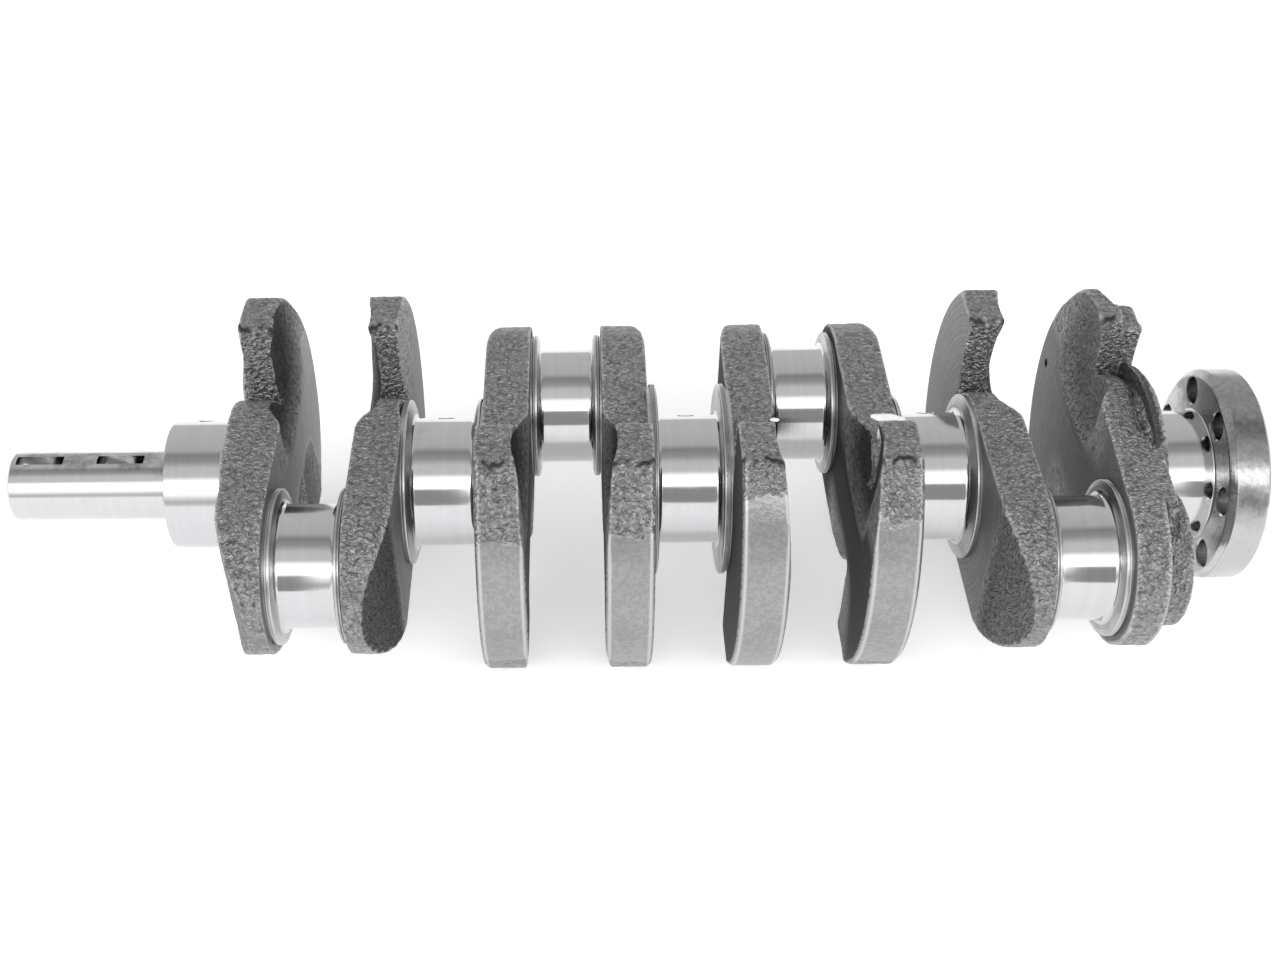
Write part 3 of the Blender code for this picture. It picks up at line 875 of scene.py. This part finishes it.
def web_turn(way, side):
    """Turns a web's +X along `way` and its +Y to `side`."""
    turn = Matrix.Identity(4)
    turn[0][0] = way
    turn[1][1] = side
    turn[2][2] = way * side
    return turn


def vertex_values(mesh, key):
    values = np.empty(len(mesh.vertices) * 3)
    mesh.vertices.foreach_get(key, values)
    return values.reshape(-1, 3)


def vertex_array(mesh):
    return vertex_values(mesh, "co")


def normal_array(mesh):
    return vertex_values(mesh, "normal")


def set_vertices(mesh, values):
    mesh.vertices.foreach_set("co", values.reshape(-1))
    mesh.update()


def roughness_field(points, seed):
    """Bumps of the forging skin, a few tenths of a millimetre high."""
    shift = Vector((seed * 7.3, seed * 3.1, seed * 5.7))
    heights = np.empty(len(points))
    for index, point in enumerate(points):
        spot = Vector(point)
        wide = noise.noise(spot * 70.0 + shift)
        small = noise.noise(spot * 260.0 + shift)
        tiny = noise.noise(spot * 520.0 + shift)
        heights[index] = 0.30 * wide + 0.20 * small + 0.16 * tiny
    return heights * MM


def crest_field(mesh):
    """0.5 on flat skin, towards 1 on edges and bumps, towards 0 in hollows."""
    points = vertex_array(mesh)
    ends = np.empty(len(mesh.edges) * 2, dtype=np.int32)
    mesh.edges.foreach_get("vertices", ends)
    ends = ends.reshape(-1, 2)
    total = np.zeros_like(points)
    count = np.zeros(len(points))
    for here, there in ((0, 1), (1, 0)):
        np.add.at(total, ends[:, here], points[ends[:, there]])
        np.add.at(count, ends[:, here], 1)
    offset = points - total / count[:, None]
    rise = (offset * normal_array(mesh)).sum(axis=1)
    for _ in range(2):
        spread = np.zeros(len(points))
        for here, there in ((0, 1), (1, 0)):
            np.add.at(spread, ends[:, here], rise[ends[:, there]])
        rise = (rise + spread / count) / 2
    return np.clip(0.5 + rise / (0.20 * MM), 0.0, 1.0)


def set_attribute(mesh, name, values):
    layer = mesh.attributes.new(name, "FLOAT", "POINT")
    layer.data.foreach_set("value", np.asarray(values, dtype=np.float32))


def rough_block(number, material):
    """A web's solid, remeshed into an even skin of small faces."""
    bm = web_solid(number)
    name = f"web_{number}_forging"
    mesh = bpy.data.meshes.new(name)
    bm.to_mesh(mesh)
    bm.free()
    piece = new_piece(mesh, name, material)
    grain = piece.modifiers.new("grain", "REMESH")
    grain.mode = "VOXEL"
    grain.voxel_size = WEB_VOXEL
    apply_all(piece)
    return piece


def hollow_out(number, points, hollow, cut_back):
    """Moves the web's faces in by the depths of its hollows."""
    x, y, z = points[:, 0].copy(), points[:, 1].copy(), points[:, 2].copy()
    radius = np.hypot(y, z)
    share = (x - PLATE_START) / (PLATE_END - PLATE_START)
    points[:, 0] = PLATE_START + cut_back + share * (PLATE_END - hollow - PLATE_START - cut_back)
    bulge = HUB_BULGE.get(number, 0.0)
    points[:, 0] -= bulge * (share < 0.1) * (1 - step_up(radius, 38 * MM, 56 * MM))
    inward = 1 - valley(number, x, y, z) / np.maximum(radius, 1 * MM)
    points[:, 1] *= inward
    points[:, 2] *= inward


def machined_field(number, normals, y, z, hollow, cut_back):
    """1 where a web's faces and rim are machined, 0 where the forging skin is left."""
    radius = np.hypot(y, z)
    angle = np.degrees(np.arctan2(np.abs(z), y))
    on_rim = (radius > RIM_RADIUS - 0.9 * MM) & (y > SHOULDER_LINE + 8 * MM)
    skin_angle = RIM_SKIN_ANGLE.get(number, PLAIN_RIM_SKIN_ANGLE)
    rim_skin = step_up(angle, skin_angle - 7.0, skin_angle + 7.0)
    pin_skin = np.maximum(step_up(hollow, 0.1 * MM, 0.8 * MM), neck_skin(y, z))
    flat_pin = (normals[:, 0] > 0.9) * (1 - pin_skin)
    flat_main = (normals[:, 0] < -0.9) * (1 - step_up(cut_back, 0.1 * MM, 0.8 * MM))
    if number == REAR_WEB:
        flat_main = 0 * flat_main
    return np.maximum(np.maximum(flat_pin, flat_main), on_rim * (1 - rim_skin))


def smooth_skin(mesh, machined):
    """Rounds the edges of the rough parts and leaves the machined faces flat."""
    bm = bmesh.new()
    bm.from_mesh(mesh)
    bm.verts.ensure_lookup_table()
    rough = [vert for vert, value in zip(bm.verts, machined) if value < 0.5]
    axes = {"use_axis_x": True, "use_axis_y": True, "use_axis_z": True}
    for _ in range(3):
        bmesh.ops.smooth_vert(bm, verts=rough, factor=0.5, **axes)
    bm.to_mesh(mesh)
    bm.free()


def keep_in_size(number, points):
    """Brings bumps back inside the rim, the lobe and the web's two faces."""
    limit = rim_limit(number, points[:, 0])
    radius = np.hypot(points[:, 1], points[:, 2])
    outside = (radius > limit) & (points[:, 1] > SHOULDER_LINE)
    shrink = np.where(outside, limit / radius, 1.0)
    points[:, 1] *= shrink
    points[:, 2] *= shrink
    reach = np.hypot(points[:, 1] + THROW, points[:, 2])
    limit = lobe_limit(number, points[:, 0], points[:, 1])
    outside = (reach > limit) & (points[:, 1] < -48 * MM)
    shrink = np.where(outside, limit / np.maximum(reach, 1 * MM), 1.0)
    points[:, 1] = (points[:, 1] + THROW) * shrink - THROW
    points[:, 2] *= shrink
    points[:, 1] = np.maximum(points[:, 1], CAD_LOW.y + 0.1 * MM)
    least = PLATE_START - HUB_BULGE.get(number, 0.0)
    if number == REAR_WEB:
        least = REAR_LAYER_END
    points[:, 0] = np.clip(points[:, 0], least + 0.02 * MM, PLATE_END - 0.02 * MM)


def painted_shade_field(number, normals, machined, hollow, y):
    """Painted shade on machined faces and beside the lobe, and in the hollows painted shade with dark mill
    scale.
    """
    deep = np.clip(hollow / (5 * MM), 0.0, 1.0) * (0.35 if number == REAR_WEB else 1.0)
    hollows = deep * 0.9 * (normals[:, 0] > 0.3)
    faces = (np.abs(normals[:, 0]) > 0.8) * machined * PAINTED_FACE_SHADE[number]
    lobe_side = step_up(lobe_bevel(number, y), 0.0, 1.5 * MM) * (normals[:, 0] < -0.5)
    lobe_shade = lobe_side * PAINTED_LOBE_SHADE.get(number, PLAIN_PAINTED_LOBE_SHADE)
    return np.maximum(np.maximum(hollows, faces), lobe_shade)


def make_web(number, material):
    """One web with its counterweight. It is shaped with local +X towards the pin, then put in its place."""
    main, way, side = WEBS[number - 1]
    piece = rough_block(number, material)
    mesh = piece.data
    points = vertex_array(mesh)
    x, y, z = points[:, 0].copy(), points[:, 1].copy(), points[:, 2].copy()
    hollow = pin_scoop(number, y, z)
    cut_back = lobe_bevel(number, y) + main_scoop(number, y, z)
    hollow_out(number, points, hollow, cut_back)
    set_vertices(mesh, points)
    machined = machined_field(number, normal_array(mesh), y, z, hollow, cut_back)
    smooth_skin(mesh, machined)

    points = vertex_array(mesh)
    normals = normal_array(mesh)
    skin = (1 - machined)[:, None]
    points += normals * roughness_field(points, number)[:, None] * skin
    keep_in_size(number, points)
    set_vertices(mesh, points)

    # Painted shade along corner creases, in hollows and on side faces, kept in the `scale` and `crest`
    # values
    crease_shade = corner_crease_shade(number, x, y, z)
    scale = painted_shade_field(number, normals, machined, hollow, y)
    set_attribute(mesh, "machined", machined)
    set_attribute(mesh, "crest", crest_field(mesh) * (1 - crease_shade))
    set_attribute(mesh, "scale", np.maximum(scale, crease_shade))
    mesh.transform(Matrix.Translation((main_x(main), 0, 0)) @ web_turn(way, side))
    mesh.update()
    if number == REAR_WEB:
        drill_balance_hole(piece)
    piece.data.shade_smooth()
    set_on(piece, "forged_steel", f"web_{number}", f"counterweight_{number}")


def drill_balance_hole(piece):
    """A small drilling in the rear web's pin side, near its rim."""
    face = main_x(5) - PLATE_END
    radius, angle = BALANCE_HOLE_PLACE
    y, z = radius * math.cos(angle), radius * math.sin(angle)
    drill = bmesh.new()
    ends = (face - OVERRUN, y, z), (face + BALANCE_HOLE_DEPTH, y, z)
    cylinder_between(drill, *ends, BALANCE_HOLE_RADIUS)
    cut(piece, drill)


def paint_dab(name, centre, size, turn, material, web):
    """A brushed dab of paint lying on an edge of a web. `turn` is in degrees about X, then Z."""
    bm = bmesh.new()
    bmesh.ops.create_uvsphere(bm, u_segments=40, v_segments=20, radius=1.0)
    for vert in bm.verts:
        wobble = 1 + 0.18 * noise.noise(vert.co * 2.3 + Vector(centre) * 900)
        vert.co = Vector((vert.co.x * size[0], vert.co.y * size[1], vert.co.z * size[2])) * wobble
    place = Matrix.Translation(centre) @ Matrix.Rotation(math.radians(turn[0]), 4, "X")
    twist = Matrix.Rotation(math.radians(turn[1]), 4, "Z")
    bmesh.ops.transform(bm, matrix=place @ twist, verts=bm.verts)
    for vert in bm.verts:
        vert.co.z = min(vert.co.z, CAD_HIGH.z - 0.1 * MM)
    mesh = bpy.data.meshes.new(name)
    bm.to_mesh(mesh)
    bm.free()
    mesh.shade_smooth()
    piece = new_piece(mesh, name, material)
    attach(piece, "root")
    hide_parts(f"counterweight_{web}")


def make_dabs(material):
    """A long stroke with a drip below it on one web, and a speck on the next one forward."""
    edge_y = -SHOULDER_LINE
    edge_z = SHOULDER_HALF_WIDTH
    start = main_x(4) - PLATE_END
    stroke = (start + 8.6 * MM, edge_y + 0.3 * MM, edge_z - 0.6 * MM)
    paint_dab("paint_stroke", stroke, (6.8 * MM, 1.9 * MM, 0.6 * MM), (22, -7), material, 6)
    drip = (start + 6.2 * MM, edge_y + 0.2 * MM, edge_z - 8.0 * MM)
    paint_dab("paint_drip", drip, (0.9 * MM, 0.7 * MM, 3.2 * MM), (0, 0), material, 6)
    speck = (main_x(3) + PLATE_END - 5.0 * MM, edge_y + 0.2 * MM, edge_z - 0.7 * MM)
    paint_dab("paint_speck", speck, (1.9 * MM, 0.9 * MM, 0.5 * MM), (20, 0), material, 5)


# ---------------------------------------------------------------- the object

journal_steel = ground_steel("ground_journal_steel")
# The nose and the flange get painted shade above a height
nose_steel = ground_steel("ground_nose_steel", bright=0.62, shade_height=12.5 * MM)
flange_steel = turned_steel("turned_flange_steel", bright=0.66, gloss=0.14, shade_height=16 * MM)
forging_skin = forged_steel("forged_web_steel")
white_paint = marker_paint("white_marker_paint")
main_shoulder_steel = turned_steel("turned_main_shoulder_steel", 0.0)
pin_shoulder_steel = {
    1: turned_steel("turned_front_pin_shoulder_steel", -THROW),
    -1: turned_steel("turned_rear_pin_shoulder_steel", THROW),
}

make_nose(nose_steel)
for journal in range(1, 6):
    make_main(journal, journal_steel)
for journal in range(1, 5):
    make_pin(journal, journal_steel)
for web, (_, _, side) in enumerate(WEBS, start=1):
    if web != REAR_WEB:
        make_main_shoulder(web, main_shoulder_steel)
    make_pin_shoulder(web, pin_shoulder_steel[side])
make_flange(flange_steel)
make_rear_hub(forging_skin)
for web in range(1, 9):
    make_web(web, forging_skin)
make_dabs(white_paint)


# ---------------------------------------------------------------- studio


def make_floor():
    """A wide sheet of pale paper, faintly lit from within so that it stays even."""
    bm = bmesh.new()
    bmesh.ops.create_grid(bm, x_segments=2, y_segments=2, size=14.0)
    bmesh.ops.translate(bm, vec=(0, 0, CAD_LOW.z - 0.2 * MM), verts=bm.verts)
    mesh = bpy.data.meshes.new("studio_floor")
    bm.to_mesh(mesh)
    bm.free()
    recipe = Recipe("floor_paper")
    recipe.paint(colour=grey(0.95), roughness=0.9, specular=0.1, glow_colour=grey(1.0), glow=0.42)
    floor = new_piece(mesh, "studio_floor", recipe.material)


# Brightness of the room round the crankshaft, by height angle in degrees, from the front over the top
ROOM_BANDS = (
    (-25, 0.80),
    (-15, 0.85),
    (-9, 1.55),
    (-1, 1.55),
    (6, 0.80),
    (11, 0.75),
    (19, 1.30),
    (27, 2.00),
    (33, 3.60),
    (42, 3.60),
    (48, 1.90),
    (56, 0.85),
    (72, 0.82),
    (84, 0.45),
    (97, 0.34),
    (107, 0.65),
    (140, 0.72),
    (180, 0.72),
)
ROOM_STRENGTH = 4.0

# A dim figure stands in front of the crankshaft. Its middle and soft sides are measured as the X part of a
# direction, and its head and foot fade out between these height angles
FIGURE_MIDDLE = 0.10
FIGURE_SIDES = (0.22, 0.38)
FIGURE_HEAD = (math.radians(27), math.radians(33))
FIGURE_FOOT = (math.radians(-14), math.radians(-8))
FIGURE_SHADE = (0.10, 0.10, 0.102, 1)


def make_room():
    world = bpy.data.worlds.new("studio_room")
    bpy.context.scene.world = world
    world.use_nodes = True
    room = Nodes(world.node_tree)
    background = room.tree.nodes["Background"]
    parts = room.parts(room.node("ShaderNodeTexCoord").outputs["Generated"])
    front = room.math("MULTIPLY", parts["Y"], -1.0)
    angle = room.math("ARCTAN2", parts["Z"], front)
    ramp = room.node("ShaderNodeValToRGB")
    room.link(room.ranged(angle, -math.pi, math.pi, shape="LINEAR"), ramp.inputs[0])
    stops = ramp.color_ramp.elements
    while len(stops) > 1:
        stops.remove(stops[0])
    for index, (height, level) in enumerate(ROOM_BANDS):
        spot = (height + 180) / 360
        stop = stops[0] if index == 0 else stops.new(spot)
        stop.position = spot
        share = level / ROOM_STRENGTH
        stop.color = (share, share, share, 1)
    aside = room.math("ABSOLUTE", room.math("SUBTRACT", parts["X"], FIGURE_MIDDLE))
    width = room.ranged(aside, *FIGURE_SIDES, 1.0, 0.0)
    head = room.ranged(angle, *FIGURE_HEAD, 1.0, 0.0)
    foot = room.ranged(angle, *FIGURE_FOOT)
    figure = room.math("MULTIPLY", room.math("MULTIPLY", width, head), foot)
    seen = room.mixed(figure, ramp.outputs["Color"], FIGURE_SHADE)
    room.link(seen, background.inputs["Color"])
    background.inputs["Strength"].default_value = ROOM_STRENGTH


def make_camera():
    """Looks down at the crankshaft from the front, with the image plane along the rotation axis."""
    elevation = math.radians(42.8)
    distance = 681 * MM
    aside = MIDDLE_MAIN_X - 43.6 * MM
    data = bpy.data.cameras.new("studio_camera")
    data.lens = 44.3
    data.sensor_width = 36.0
    data.shift_x = 0.043
    data.clip_start = 0.05
    data.clip_end = 20.0
    camera = bpy.data.objects.new("studio_camera", data)
    bpy.context.scene.collection.objects.link(camera)
    camera.location = (aside, -distance * math.cos(elevation), distance * math.sin(elevation))
    look = Matrix.Rotation(math.pi / 2 - elevation, 4, "X")
    roll = Matrix.Rotation(math.radians(-0.63), 4, "Z")
    camera.rotation_euler = (look @ roll).to_euler()
    bpy.context.scene.camera = camera


make_floor()
make_room()
make_camera()
bpy.context.scene.view_settings.view_transform = "Standard"
